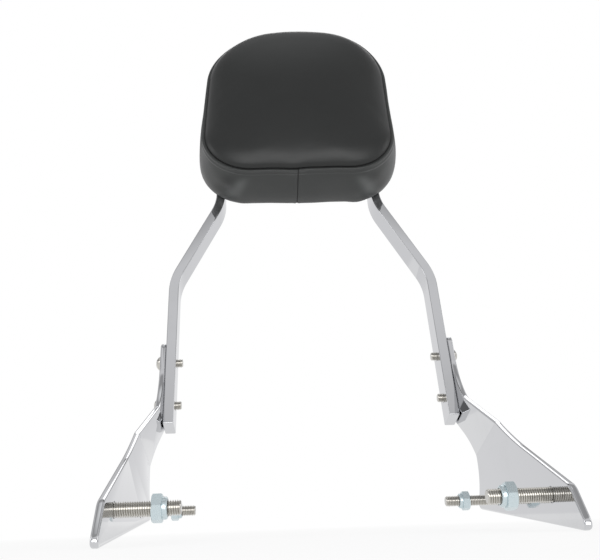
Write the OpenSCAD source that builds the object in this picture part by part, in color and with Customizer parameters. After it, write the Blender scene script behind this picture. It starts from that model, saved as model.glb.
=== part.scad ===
// Sissy bar for a motorbike: a bent flat-bar hoop with a backrest pad, bolted to two joggled side plates.
// X is across the bike with the rider's left positive, Y runs to the rear and Z is up.
// The origin is midway between the two front strut holes, on their common axis.

/* [Hoop] */
// Thickness of the flat bar, seen from the front
bar_t = 9.5; // [6:0.5:12]
// Depth of the flat bar, front to back
bar_w = 24; // [18:1:32]
// Width over the outer faces of the two lower legs
leg_span = 264; // [225:1:320]
// Width over the outer faces of the hoop behind the pad
hoop_span = 173; // [150:1:200]
// Lean of the hoop to the rear, from the vertical
lean = 16.8; // [8:0.2:24]
// Leg left below the lower leg hole
leg_end = 22; // [16:1:28]
// Height of the lower bend's corner above the lower leg hole
low_bend_z = 130; // [110:1:145]
// Height of the upper bend's corner above the lower leg hole
high_bend_z = 226; // [215:1:250]
// Centre-line radius of the leg bends
bend_r = 60; // [30:1:75]
// Height of the hoop's closed top above the lower leg hole
hoop_top = 410; // [395:1:425]
// Centre-line radius of the hoop's top corners
top_r = 60; // [35:1:65]
// Broken edge along the flat bar
bar_edge = 1; // [0.3:0.1:2]

/* [Pad straps] */
// Thickness of the cross straps
strap_t = 4; // [3:0.5:5]
// Width of the cross straps
strap_w = 25; // [20:1:30]
// Height of the lower strap above the lower leg hole
low_strap_z = 264; // [255:1:275]
// Height of the upper strap above the lower leg hole
high_strap_z = 330; // [315:1:335]
// Distance between the two pad screws of a strap
pad_screw_gap = 80; // [50:1:110]

/* [Side plates] */
// Thickness of the plate
plate_t = 5; // [4:0.5:6]
// How far the plate's body stands outboard of its arm
joggle = 9; // [5:0.5:14]
// Distance between the front and the rear strut hole
strut_gap = 120; // [100:1:130]
// Rear distance of the lower arm hole from the front strut hole
arm_hole_y = 197.5; // [190:0.5:205]
// Height of the lower arm hole above the strut holes
arm_hole_z = 93; // [88:0.5:98]
// Distance between the two arm holes, and between the two holes of a leg
arm_gap = 43; // [36:0.5:48]
// Width of the arm
arm_w = 25.5; // [24:0.5:30]
// Arm left above the upper arm hole
arm_tip = 17; // [13:0.5:20]
// Radius of the arm's two end corners
arm_tip_r = 7.5; // [3:0.5:11]
// Slope of the plate's straight lower edge, rising to the rear
edge_slope = 4; // [2:0.5:6]
// Distance of the straight lower edge below the front strut hole
edge_drop = 19; // [16:0.5:22]
// Front tip of the plate, ahead of the front strut hole
nose_reach = 55; // [48:1:62]
// Radius of the sharp front tip
nose_r = 5; // [3:0.5:6]
// Upper corner of the front tip, behind the tip
brow_y = 22; // [18:1:26]
// Height of that corner above the strut holes
brow_z = 4.7; // [3:0.1:8]
// Radius of that corner
brow_r = 14; // [6:1:20]
// Crest of the long upper edge, behind the front strut hole
crest_y = 80; // [72:1:88]
// Height of the crest above the strut holes
crest_z = 46; // [44:0.5:49]
// Radius of the crest's gentle curve
crest_r = 500; // [200:10:600]
// Rear end of the straight edge, behind the rear strut hole
heel_reach = 65.5; // [60:0.5:72]
// Radius of the heel
heel_r = 6; // [3:0.5:7]
// Corner of the hollow between the heel and the arm, ahead of the arm's centre line
hollow_ahead = 22.5; // [20:0.5:25]
// Distance of that corner below the lower arm hole, along the arm
hollow_below = 70.5; // [68:0.5:73]
// Radius of the hollow
hollow_r = 45; // [35:1:46]
// Radius of the arm's rear edge where the hollow ends
elbow_r = 4; // [1:0.5:6]
// Point where the arm's straight front edge begins, above the lower arm hole
throat_up = 3.5; // [0:0.5:8]
// Radius where the long upper edge turns up into the arm
throat_r = 68; // [45:1:70]
// Bend line next to the arm, below the lower arm hole
high_fold = 16.5; // [14:0.5:19]
// Bend line next to the plate's body, below the lower arm hole
low_fold = 59; // [50:1:64]
// Depth of the recesses for the strut bolts' heads
recess_d = 2.5; // [1.5:0.1:3]
// Gap between a bolt's head and its recess, all round
recess_gap = 1.75; // [1:0.25:2]

/* [Pad] */
// Width of the pad's face at its lower corners, seam to seam
face_w = 199; // [192:1:210]
// Width of the pad's face at its upper corners, seam to seam
face_top_w = 186; // [176:1:192]
// Height of the pad's lower seam above the lower leg hole
face_z = 227; // [220:1:232]
// Height of the face's upper corners above its lower seam
face_h = 193; // [186:1:205]
// Rise of the arched top seam above the face's upper corners
face_rise = 11; // [8:0.5:14]
// Radius of the face's lower corners
low_corner_r = 46; // [30:1:55]
// Radius of the face's upper corners
high_corner_r = 78; // [60:1:80]
// Radius of the arch between the upper corners
face_arch_r = 140; // [60:5:160]
// Depth of the side band, from the pad's back to the face seam
band_d = 51; // [40:1:60]
// How far the side band swells out beyond the face seam
band_swell = 6.5; // [5:0.5:12]
// How far the side band tucks in again at the pad's back
back_tuck = 3; // [1:0.5:6]
// Height of the crown of the face above its seam
crown = 20; // [10:1:24]
// Thickness of the vinyl cover with its lining
cover_t = 2; // [1:0.25:3]
// Thickness of the backing board
board_t = 9; // [6:0.5:12]

/* [Fasteners] */
// Gap kept for the motorbike's strut between a side plate and its lock nuts
strut_t = 24; // [16:1:26]
// Thread diameter of the front strut bolts
front_bolt_d = 10; // [8:1:10]
// Thread diameter of the rear strut bolts
rear_bolt_d = 8; // [8:1:9]
// Length of the strut bolts under the head
strut_bolt_l = 45; // [40:1:50]
// Thread diameter of the leg screws
leg_screw_d = 8; // [6:1:9]
// Length of the leg screws under the head
leg_screw_l = 20; // [17:1:25]
// Thread diameter of the pad screws
pad_screw_d = 6; // [5:1:6]
// Length of the pad screws under the head
pad_screw_l = 16; // [14:1:17]
// Thickness of the washers under the pad screws
washer_t = 1.6; // [1:0.1:2]
// Clearance of a bolt in its hole, on the diameter
hole_gap = 1; // [0.4:0.1:1.4]

/* [Hidden] */
$fn = 64;
SIDES = ["left", "right"];

chrome = [0.75, 0.75, 0.77];
stainless = [0.60, 0.59, 0.56];
zinc = [0.78, 0.86, 0.88];
vinyl = [0.23, 0.24, 0.24];
board = [0.62, 0.48, 0.32];
foam = [0.86, 0.80, 0.62];

// Directions of the leaning arm in the side view, as [rear, up]
arm_up = [sin(lean), cos(lean)];
arm_rear = [cos(lean), -sin(lean)];
arm_hole = [arm_hole_y, arm_hole_z];

// Centre lines of the flat bar
leg_x = leg_span / 2 - bar_t / 2;
hoop_x = hoop_span / 2 - bar_t / 2;
// Corners of the bar's centre line, from the left leg to the right: place in the front view, radius, steps
hoop_corners = [
    [[leg_x, low_bend_z], bend_r, 6], [[hoop_x, high_bend_z], bend_r, 6], [[hoop_x, hoop_top], top_r, 14],
    [[-hoop_x, hoop_top], top_r, 14], [[-hoop_x, high_bend_z], bend_r, 6], [[-leg_x, low_bend_z], bend_r, 6]
];
bar_front = -bar_w / 2;

// Planes of the side plate, measured outboard from the bike's centre
arm_in = leg_span / 2;
body_in = arm_in + joggle;
body_out = body_in + plate_t;
fold = atan2(joggle, low_fold - high_fold);

// Button head and lock nut proportions, as multiples of the thread diameter
head_width = 1.75;
head_height = 0.55;
head_flat = 0.74;
socket_width = 0.62;
socket_depth = 0.3;
nut_width = 1.65;
nut_height = 1;
nut_hex_part = 0.68;
collar_width = 1.42;
nut_edge = 0.12;
ring_depth = 0.2;
ring_wall = 0.07;
ring_lip = 0.06;
screw_tip = 1;
washer_edge = 1;

// Slopes of the pad's sides and of its arched top, and the largest radius that fits its upper corners
side_slope = atan2((face_w - face_top_w) / 2, face_h);
top_slope = atan2(face_rise, face_top_w / 2);
upper_room = norm([face_top_w / 2, face_rise]) - face_arch_r * tan(top_slope);
upper_corner_r = min(high_corner_r, upper_room / tan((90 - side_slope - top_slope) / 2));

// Pad planes in the hoop's own frame, negative towards the rider
pad_back = bar_front;
cover_front = pad_back - cover_t;
board_front = cover_front - board_t;
seam_y = pad_back - band_d;
tee_flange_t = 1.2;
tee_flange_r = 9;
tee_wall = 1.5;
slice = 0.02;
// Steps of the band's swell, as shares of its depth, and of the face's crown, as shares of its outline
band_steps = [0.15, 0.35, 0.6, 0.8];
crown_steps = [1, 0.985, 0.95, 0.88, 0.75, 0.55, 0.3];

function unit(v) = v / norm(v);
function turn(a, b) = ((b - a + 540) % 360) - 180;

// Arc of radius r that rounds the corner q between p and s
function rounded_corner(p, q, s, r, steps = 10) =
    let (
        u = unit(p - q), v = unit(s - q),
        half = acos(min(1, max(-1, u * v))) / 2,
        centre = q + unit(u + v) * r / sin(half),
        first = q + u * r / tan(half) - centre,
        last = q + v * r / tan(half) - centre,
        start = atan2(first[1], first[0]),
        sweep = turn(start, atan2(last[1], last[0]))
    )
    [for (i = [0 : steps]) centre + r * [cos(start + sweep * i / steps), sin(start + sweep * i / steps)]];

// Outline through corners given as [x, y, radius]
function rounded(corners, steps = 10) =
    let (n = len(corners))
    [for (i = [0 : n - 1])
        let (p = corners[(i + n - 1) % n], q = corners[i], s = corners[(i + 1) % n])
        each rounded_corner([p[0], p[1]], [q[0], q[1]], [s[0], s[1]], q[2], steps)];

// Corners of a convex outline moved outward by d, or inward if it is negative
function grown(corners, d) =
    let (n = len(corners), p = [for (c = corners) [c[0], c[1]]])
    [for (i = [0 : n - 1])
        let (
            u = unit(p[(i + n - 1) % n] - p[i]), v = unit(p[(i + 1) % n] - p[i]),
            half = acos(u * v) / 2,
            moved = p[i] - unit(u + v) * d / sin(half)
        )
        [moved[0], moved[1], corners[i][2] + d]];

// Point of the plate given in the arm's own directions from the lower arm hole
function on_arm(rear, up) = arm_hole + rear * arm_rear + up * arm_up;
function edge_z(y) = y * tan(edge_slope) - edge_drop;
function corner(p, r) = [p[0], p[1], r];

function plate_corners() = [
    corner([-nose_reach, edge_z(-nose_reach)], nose_r),
    corner([strut_gap + heel_reach, edge_z(strut_gap + heel_reach)], heel_r),
    corner(on_arm(-hollow_ahead, -hollow_below), hollow_r),
    corner(on_arm(arm_w / 2, -high_fold), elbow_r),
    corner(on_arm(arm_w / 2, arm_gap + arm_tip), arm_tip_r),
    corner(on_arm(-arm_w / 2, arm_gap + arm_tip), arm_tip_r),
    corner(on_arm(-arm_w / 2, throat_up), throat_r),
    corner([crest_y, crest_z], crest_r),
    corner([brow_y - nose_reach, brow_z], brow_r)
];

module on_hoop() {
    translate([0, arm_hole_y, arm_hole_z])
        rotate([-lean, 0, 0])
            children();
}

module on_side(side) {
    mirror([side == "right" ? 1 : 0, 0, 0])
        children();
}

// Cross-section of the flat bar with broken edges, as [thickness, depth]
function bar_section() =
    let (a = bar_t / 2, b = bar_w / 2, e = bar_edge)
    [
        [a - e, -b], [a, -b + e], [a, b - e], [a - e, b],
        [-a + e, b], [-a, b - e], [-a, -b + e], [-a + e, -b]
    ];

// Centre line of the bar in the front view, with its bends as arcs
function hoop_path() =
    let (
        ends = [[leg_x, -leg_end], [-leg_x, -leg_end]],
        q = [ends[0], for (c = hoop_corners) c[0], ends[1]]
    )
    [
        ends[0],
        for (i = [0 : len(hoop_corners) - 1])
            each rounded_corner(q[i], q[i + 1], q[i + 2], hoop_corners[i][1], hoop_corners[i][2]),
        ends[1]
    ];

// Direction square to the path at point i, long enough to keep the bar's thickness where it turns
function path_normal(path, i) =
    let (
        before = unit(path[max(i, 1)] - path[max(i, 1) - 1]),
        after = unit(path[min(i + 1, len(path) - 1)] - path[min(i, len(path) - 2)]),
        along = unit(before + after)
    )
    [along[1], -along[0]] / (along * before);

// Flat bar swept along the centre line
module bent_bar() {
    path = hoop_path();
    section = bar_section();
    n = len(section);
    m = len(path);
    points = [
        for (i = [0 : m - 1])
            let (across = path_normal(path, i))
            for (s = section)
                [path[i][0] + s[0] * across[0], s[1], path[i][1] + s[0] * across[1]]
    ];
    sides = [
        for (i = [0 : m - 2])
            for (j = [0 : n - 1])
                let (k = (j + 1) % n)
                [i * n + j, (i + 1) * n + j, (i + 1) * n + k, i * n + k]
    ];
    caps = [[for (j = [0 : n - 1]) j], [for (j = [n - 1 : -1 : 0]) (m - 1) * n + j]];
    polyhedron(points, concat(sides, caps), convexity = 6);
}

module upright_hoop() {
    color(chrome) on_hoop() difference() {
        bent_bar();
        for (z = [0, arm_gap])
            translate([0, 0, z])
                rotate([0, 90, 0])
                    cylinder(d = leg_screw_d, h = leg_span + 2, center = true);
    }
}

// Flat strap welded between the hoop's legs, flush with their front
module pad_strap(z) {
    strap_l = hoop_span - 2 * bar_t;
    color(chrome) on_hoop() difference() {
        translate([-strap_l / 2, bar_front, z - strap_w / 2])
            cube([strap_l, strap_t, strap_w]);
        for (x = [-pad_screw_gap / 2, pad_screw_gap / 2])
            translate([x, bar_front, z])
                rotate([90, 0, 0])
                    cylinder(d = pad_screw_d + hole_gap, h = 3 * strap_t, center = true);
    }
}

module lower_pad_strap() {
    pad_strap(low_strap_z);
}

module upper_pad_strap() {
    pad_strap(high_strap_z);
}

// Corners of the pad's face about its centre, as [across, up, radius]
function face_corners() = [
    [-face_w / 2, -face_h / 2, low_corner_r],
    [face_w / 2, -face_h / 2, low_corner_r],
    [face_top_w / 2, face_h / 2, upper_corner_r],
    [0, face_h / 2 + face_rise, face_arch_r],
    [-face_top_w / 2, face_h / 2, upper_corner_r]
];

// Outline of the pad's face, scaled about its centre and grown by a margin
module pad_outline(grow, scaled = 1) {
    translate([0, face_z + face_h / 2])
        polygon(rounded(grown(face_corners() * scaled, grow), 8));
}

// Thin slice of the pad at a depth y
module pad_slice(y, grow, scaled = 1) {
    translate([0, y, 0])
        rotate([90, 0, 0])
            linear_extrude(slice)
                pad_outline(grow, scaled);
}

// The pad's filled outer form, drawn in on all sides by a margin
module pad_form(inset) {
    hull() {
        pad_slice(pad_back, band_swell - back_tuck - inset);
        for (level = band_steps)
            pad_slice(pad_back - band_d * level, band_swell * sqrt(1 - level ^ 2) - inset);
        for (scaled = crown_steps)
            pad_slice(seam_y + inset - crown * sqrt(1 - scaled ^ 2), -inset, scaled);
    }
}

// Space between two depths, wide enough for the whole pad
module pad_zone(from, to) {
    wide = 2 * face_w;
    translate([-wide / 2, to, 0])
        cube([wide, from - to, 2 * (face_z + face_h)]);
}

module pad_cover(from, to) {
    intersection() {
        difference() {
            pad_form(0);
            pad_form(cover_t);
        }
        pad_zone(from, to);
    }
}

module face_panel() {
    color(vinyl) on_hoop()
        pad_cover(seam_y, seam_y - 2 * crown);
}

module side_band() {
    color(vinyl) on_hoop()
        pad_cover(pad_back, seam_y);
}

module board_plate(t, front) {
    translate([0, front + t, 0])
        rotate([90, 0, 0])
            linear_extrude(t)
                pad_outline(band_swell - back_tuck - cover_t);
}

module at_pad_screws() {
    for (x = [-pad_screw_gap / 2, pad_screw_gap / 2])
        for (z = [low_strap_z, high_strap_z])
            translate([x, 0, z])
                children();
}

module foam_core() {
    color(foam) on_hoop() difference() {
        intersection() {
            pad_form(cover_t);
            pad_zone(cover_front, seam_y - 2 * crown);
        }
        board_plate(board_t + slice, board_front);
        at_pad_screws()
            translate([0, board_front, 0])
                rotate([90, 0, 0])
                    cylinder(r = tee_flange_r, h = tee_flange_t);
    }
}

module backing_board() {
    color(board) on_hoop() difference() {
        board_plate(board_t, board_front);
        at_pad_screws()
            rotate([90, 0, 0])
                cylinder(d = pad_screw_d + 2 * tee_wall, h = 2 * face_w, center = true);
    }
}

module back_cover() {
    color(vinyl) on_hoop() difference() {
        board_plate(cover_t, cover_front);
        at_pad_screws()
            rotate([90, 0, 0])
                cylinder(d = pad_screw_d + hole_gap, h = 2 * face_w, center = true);
    }
}

// Puts a piece at one of the four pad screws
module at_pad_screw(side, z) {
    on_hoop()
        translate([(side == "left" ? 1 : -1) * pad_screw_gap / 2, 0, z])
            children();
}

module tee_nut(side, z) {
    color(zinc) at_pad_screw(side, z) translate([0, board_front, 0]) rotate([90, 0, 0]) difference() {
        union() {
            cylinder(r = tee_flange_r, h = tee_flange_t);
            translate([0, 0, -board_t]) cylinder(d = pad_screw_d + 2 * tee_wall, h = board_t);
        }
        cylinder(d = pad_screw_d, h = 3 * board_t, center = true);
    }
}

// Button head with a hexagon socket, its shaft along -Z from the underside of the head
module button_screw(d, l) {
    head_r = head_width * d / 2;
    head_h = head_height * d;
    flat_r = head_flat * d / 2;
    dome_drop = (head_r ^ 2 - flat_r ^ 2 - head_h ^ 2) / (2 * head_h);
    difference() {
        intersection() {
            cylinder(r = head_r, h = head_h);
            translate([0, 0, -dome_drop]) sphere(r = norm([head_r, dome_drop]));
        }
        translate([0, 0, head_h - socket_depth * d])
            cylinder(d = socket_width * d / cos(30), h = head_h, $fn = 6);
    }
    translate([0, 0, screw_tip - l]) cylinder(d = d, h = l - screw_tip);
    translate([0, 0, -l]) cylinder(d1 = d - 2 * screw_tip, d2 = d, h = screw_tip);
}

module pad_screw(side, z) {
    color(stainless) at_pad_screw(side, z)
        translate([0, bar_front + strap_t + washer_t, 0])
            rotate([-90, 0, 0])
                button_screw(pad_screw_d, pad_screw_l);
}

module pad_washer(side, z) {
    color(zinc) at_pad_screw(side, z) translate([0, bar_front + strap_t, 0]) rotate([-90, 0, 0])
        difference() {
            cylinder(r = pad_screw_d + washer_edge, h = washer_t);
            cylinder(d = pad_screw_d + hole_gap / 2, h = 3 * washer_t, center = true);
        }
}

// Slab of the plate's thickness that steps inboard at the two fold lines, long enough for the whole plate
module joggled_slab() {
    reach = 2 * strut_gap;
    step = plate_t * tan(fold / 2);
    translate([0, arm_hole_y, arm_hole_z])
        rotate([-lean, 0, 0])
            rotate([90, 0, 0])
                linear_extrude(2 * reach, center = true)
                    polygon([
                        [body_in, -reach], [body_out, -reach],
                        [body_out, -low_fold + step], [arm_in + plate_t, -high_fold + step],
                        [arm_in + plate_t, reach], [arm_in, reach],
                        [arm_in, -high_fold], [body_in, -low_fold]
                    ]);
}

module side_plate(side) {
    color(chrome) on_side(side) difference() {
        intersection() {
            rotate([90, 0, 90]) linear_extrude(2 * body_out) polygon(rounded(plate_corners()));
            joggled_slab();
        }
        for (hole = [[0, front_bolt_d], [strut_gap, rear_bolt_d]])
            translate([0, hole[0], 0]) rotate([0, 90, 0]) {
                cylinder(d = hole[1] + hole_gap, h = 2 * body_out);
                translate([0, 0, body_out - recess_d])
                    cylinder(d = head_width * hole[1] + 2 * recess_gap, h = body_out);
            }
        on_hoop() for (z = [0, arm_gap])
            translate([0, 0, z])
                rotate([0, 90, 0])
                    cylinder(d = leg_screw_d + hole_gap, h = 2 * body_out);
    }
}

module leg_screw(side, z) {
    color(stainless) on_side(side) on_hoop()
        translate([arm_in + plate_t, 0, z])
            rotate([0, 90, 0])
                button_screw(leg_screw_d, leg_screw_l);
}

module strut_bolt(side, y, d) {
    color(stainless) on_side(side)
        translate([body_out - recess_d, y, 0])
            rotate([0, 90, 0])
                button_screw(d, strut_bolt_l);
}

// Lock nut with its face on the plane z = 0 and its nylon ring at the far end
module nut_blank(d) {
    across = nut_width * d / cos(30);
    hex_h = nut_hex_part * nut_height * d;
    narrow = across - 2 * nut_edge * d;
    wide = narrow + 2 * hex_h * tan(60);
    intersection() {
        cylinder(d = across, h = hex_h, $fn = 6);
        cylinder(d1 = narrow, d2 = wide, h = hex_h);
        cylinder(d1 = wide, d2 = narrow, h = hex_h);
    }
    translate([0, 0, hex_h]) cylinder(d = collar_width * d, h = nut_height * d - hex_h);
}

module ring_space(d, bore) {
    ring_h = ring_depth * d;
    translate([0, 0, (nut_height - ring_lip) * d - ring_h])
        difference() {
            cylinder(d = (collar_width - 2 * ring_wall) * d, h = ring_h);
            cylinder(d = bore, h = 3 * ring_h, center = true);
        }
}

module at_nut(side, y) {
    on_side(side)
        translate([body_in - strut_t, y, 0])
            rotate([0, -90, 0])
                children();
}

module lock_nut(side, y, d) {
    color(zinc) at_nut(side, y) difference() {
        nut_blank(d);
        cylinder(d = d, h = 4 * d, center = true);
        ring_space(d, d / 2);
    }
}

module nylon_ring(side, y, d) {
    color("white") at_nut(side, y)
        ring_space(d, d);
}

upright_hoop();
lower_pad_strap();
upper_pad_strap();
face_panel();
side_band();
foam_core();
backing_board();
back_cover();
for (side = SIDES) {
    side_plate(side);
    for (row = [["low", low_strap_z], ["high", high_strap_z]]) {
        tee_nut(side, row[1]);
        pad_screw(side, row[1]);
        pad_washer(side, row[1]);
    }
    for (row = [["low", 0], ["high", arm_gap]])
        leg_screw(side, row[1]);
    for (row = [["front", 0, front_bolt_d], ["rear", strut_gap, rear_bolt_d]]) {
        strut_bolt(side, row[1], row[2]);
        lock_nut(side, row[1], row[2]);
        nylon_ring(side, row[1], row[2]);
    }
}
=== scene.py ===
# Sissy bar: chromed hoop and side plates, stainless screws, zinc lock nuts and a vinyl pad, on a pale floor.
import math
import bpy
import bmesh
from mathutils import Matrix, Vector, noise
from mathutils.bvhtree import BVHTree


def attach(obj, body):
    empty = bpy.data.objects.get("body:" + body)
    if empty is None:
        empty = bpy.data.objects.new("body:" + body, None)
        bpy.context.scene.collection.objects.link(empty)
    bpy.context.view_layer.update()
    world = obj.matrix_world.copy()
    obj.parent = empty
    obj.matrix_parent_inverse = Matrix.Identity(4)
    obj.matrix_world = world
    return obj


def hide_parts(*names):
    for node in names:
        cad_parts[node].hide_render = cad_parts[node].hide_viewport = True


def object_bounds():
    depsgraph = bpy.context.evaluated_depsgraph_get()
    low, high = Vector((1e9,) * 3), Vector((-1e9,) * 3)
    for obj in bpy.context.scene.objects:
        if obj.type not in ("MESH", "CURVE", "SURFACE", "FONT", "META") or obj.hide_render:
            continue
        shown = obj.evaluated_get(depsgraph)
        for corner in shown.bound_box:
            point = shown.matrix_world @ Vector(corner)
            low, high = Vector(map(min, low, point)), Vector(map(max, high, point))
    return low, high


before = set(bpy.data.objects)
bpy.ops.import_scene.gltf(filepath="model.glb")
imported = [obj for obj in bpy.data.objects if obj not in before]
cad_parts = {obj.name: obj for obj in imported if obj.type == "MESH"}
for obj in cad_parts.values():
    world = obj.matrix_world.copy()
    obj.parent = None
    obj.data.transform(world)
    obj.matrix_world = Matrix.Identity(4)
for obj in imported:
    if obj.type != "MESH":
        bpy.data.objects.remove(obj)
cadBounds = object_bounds()
millimetre = 0.001
print("frame loaded:", len(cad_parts), "nodes")


# Small helpers that every piece uses. Shapes are made in millimetres and placed in metres.

def vertsOf(found):
    return [item for item in found if isinstance(item, bmesh.types.BMVert)]


def edgesOf(found):
    return [item for item in found if isinstance(item, bmesh.types.BMEdge)]


def facesOf(found):
    return [item for item in found if isinstance(item, bmesh.types.BMFace)]


def makeObject(name, bm):
    mesh = bpy.data.meshes.new(name)
    bm.to_mesh(mesh)
    bm.free()
    piece = bpy.data.objects.new(name, mesh)
    bpy.context.collection.objects.link(piece)
    return piece


def bakeModifiers(piece):
    graph = bpy.context.evaluated_depsgraph_get()
    fresh = bpy.data.meshes.new_from_object(piece.evaluated_get(graph))
    plain = piece.data
    piece.modifiers.clear()
    piece.data = fresh
    fresh.name = piece.name
    bpy.data.meshes.remove(plain)


def booleanWith(piece, tool, operation):
    change = piece.modifiers.new("cut", "BOOLEAN")
    change.operation = operation
    change.solver = "EXACT"
    change.object = tool
    bakeModifiers(piece)
    bpy.data.objects.remove(tool)


def editMesh(piece, change):
    bm = bmesh.new()
    bm.from_mesh(piece.data)
    change(bm)
    bm.to_mesh(piece.data)
    bm.free()


broadFlat = 60.0  # square millimetres over which a many-sided face is a flat


def shadeRounded(piece, limit=32):
    # smooth faces, sharp creases over the limit, and flats that stay flat beside their rounded edges
    def mark(bm):
        bmesh.ops.remove_doubles(bm, verts=bm.verts, dist=0.004)  # slivers left by the cuts
        bmesh.ops.dissolve_degenerate(bm, dist=0.004, edges=bm.edges)
        for face in bm.faces:
            face.smooth = True
        for edge in bm.edges:
            edge.smooth = len(edge.link_faces) == 2 and edge.calc_face_angle(0) < math.radians(limit)
    editMesh(piece, mark)
    flats = piece.modifiers.new("flats", "WEIGHTED_NORMAL")
    flats.mode = "FACE_AREA"
    flats.keep_sharp = True
    bakeModifiers(piece)
    mesh = piece.data
    normals = [corner.vector.copy() for corner in mesh.corner_normals]
    for face in mesh.polygons:
        if len(face.vertices) > 4 and face.area > broadFlat:
            for corner in face.loop_indices:
                normals[corner] = face.normal.copy()
    mesh.normals_split_custom_set(normals)


def placeMesh(piece, place):
    piece.data.transform(place @ Matrix.Scale(millimetre, 4))


def finishPiece(piece, material, slot, *nodes):
    piece.data.materials.clear()
    piece.data.materials.append(material)
    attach(piece, "root")
    if nodes:
        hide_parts(*nodes)


def copyMesh(piece, name):
    twin = bpy.data.objects.new(name, piece.data.copy())
    bpy.context.collection.objects.link(twin)
    return twin


def turned(profile, steps=48):
    # solid of revolution about Z from a profile of (radius, height) that starts and ends on the axis
    bm = bmesh.new()
    line = [bm.verts.new((radius, 0, height)) for radius, height in profile]
    rims = [bm.edges.new(pair) for pair in zip(line, line[1:])]
    bmesh.ops.spin(bm, geom=line + rims, cent=(0, 0, 0), axis=(0, 0, 1), dvec=(0, 0, 0),
                   angle=math.tau, steps=steps, use_merge=True, use_duplicate=False)
    bmesh.ops.remove_doubles(bm, verts=bm.verts, dist=0.001)
    bmesh.ops.recalc_face_normals(bm, faces=bm.faces)
    return bm


def bevelCreases(bm, width, segments, limit=30):
    creases = [edge for edge in bm.edges if len(edge.link_faces) == 2
               and edge.calc_face_angle(0) > math.radians(limit)]
    bmesh.ops.bevel(bm, geom=creases, offset=width, offset_type="OFFSET", affect="EDGES", segments=segments,
                    profile=0.5, material=-1, clamp_overlap=True, loop_slide=True)


def hexPrism(across, low, high, turn=0):
    bm = bmesh.new()
    base = bmesh.ops.create_circle(bm, cap_ends=True, segments=6, radius=across / 2 / math.cos(math.pi / 6),
                                   matrix=Matrix.Translation((0, 0, low)) @ Matrix.Rotation(turn, 4, "Z"))
    top = bmesh.ops.extrude_face_region(bm, geom=list(bm.faces))["geom"]
    bmesh.ops.translate(bm, vec=(0, 0, high - low), verts=vertsOf(top))
    bmesh.ops.recalc_face_normals(bm, faces=bm.faces)
    return bm


# The frame of the hoop: the lower leg hole is its origin and it leans to the rear.

hoop = {
    "lean": 16.8, "holeRear": 197.5, "holeUp": 93.0, "holeGap": 43.0,
    "thick": 9.5, "depth": 24.0, "edge": 1.1, "legSpan": 264.0, "padSpan": 173.0,
    "legEnd": 22.0, "lowBend": 130.0, "highBend": 226.0, "top": 410.0,
    "bendRadius": 60.0, "topRadius": 60.0, "bendSteps": 14, "topSteps": 36,
    "holeDiameter": 8.0, "holeChamfer": 0.5,
}
strap = {
    "thick": 4.0, "width": 25.0, "heights": (264.0, 330.0), "edge": 0.7, "screwGap": 80.0,
    "screwHole": 7.0, "bead": 2.6, "beadRipples": 9,
}
hoopPlace = (Matrix.Translation((0, hoop["holeRear"] * millimetre, hoop["holeUp"] * millimetre))
             @ Matrix.Rotation(math.radians(-hoop["lean"]), 4, "X"))


def roundedSection(bm, width, depth, radius, segments, place):
    bmesh.ops.create_grid(bm, x_segments=1, y_segments=1, size=0.5)
    bmesh.ops.scale(bm, vec=(width, depth, 1), verts=bm.verts)
    bmesh.ops.bevel(bm, geom=list(bm.verts), offset=radius, offset_type="OFFSET", affect="VERTICES",
                    segments=segments, profile=0.5, material=-1, clamp_overlap=True)
    bmesh.ops.transform(bm, matrix=place, verts=bm.verts)
    return list(bm.faces)[0]


def growRun(bm, face, step):
    grown = bmesh.ops.extrude_face_region(bm, geom=[face])["geom"]
    bmesh.ops.translate(bm, vec=step, verts=vertsOf(grown))
    return facesOf(grown)[0]


def growBend(bm, face, centre, angle, steps):
    around = list(face.verts) + list(face.edges) + [face]
    grown = bmesh.ops.spin(bm, geom=around, cent=centre, axis=(0, 1, 0), dvec=(0, 0, 0),
                           angle=angle, steps=steps, use_merge=False, use_duplicate=False)
    return facesOf(grown["geom_last"])[0]


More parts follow.
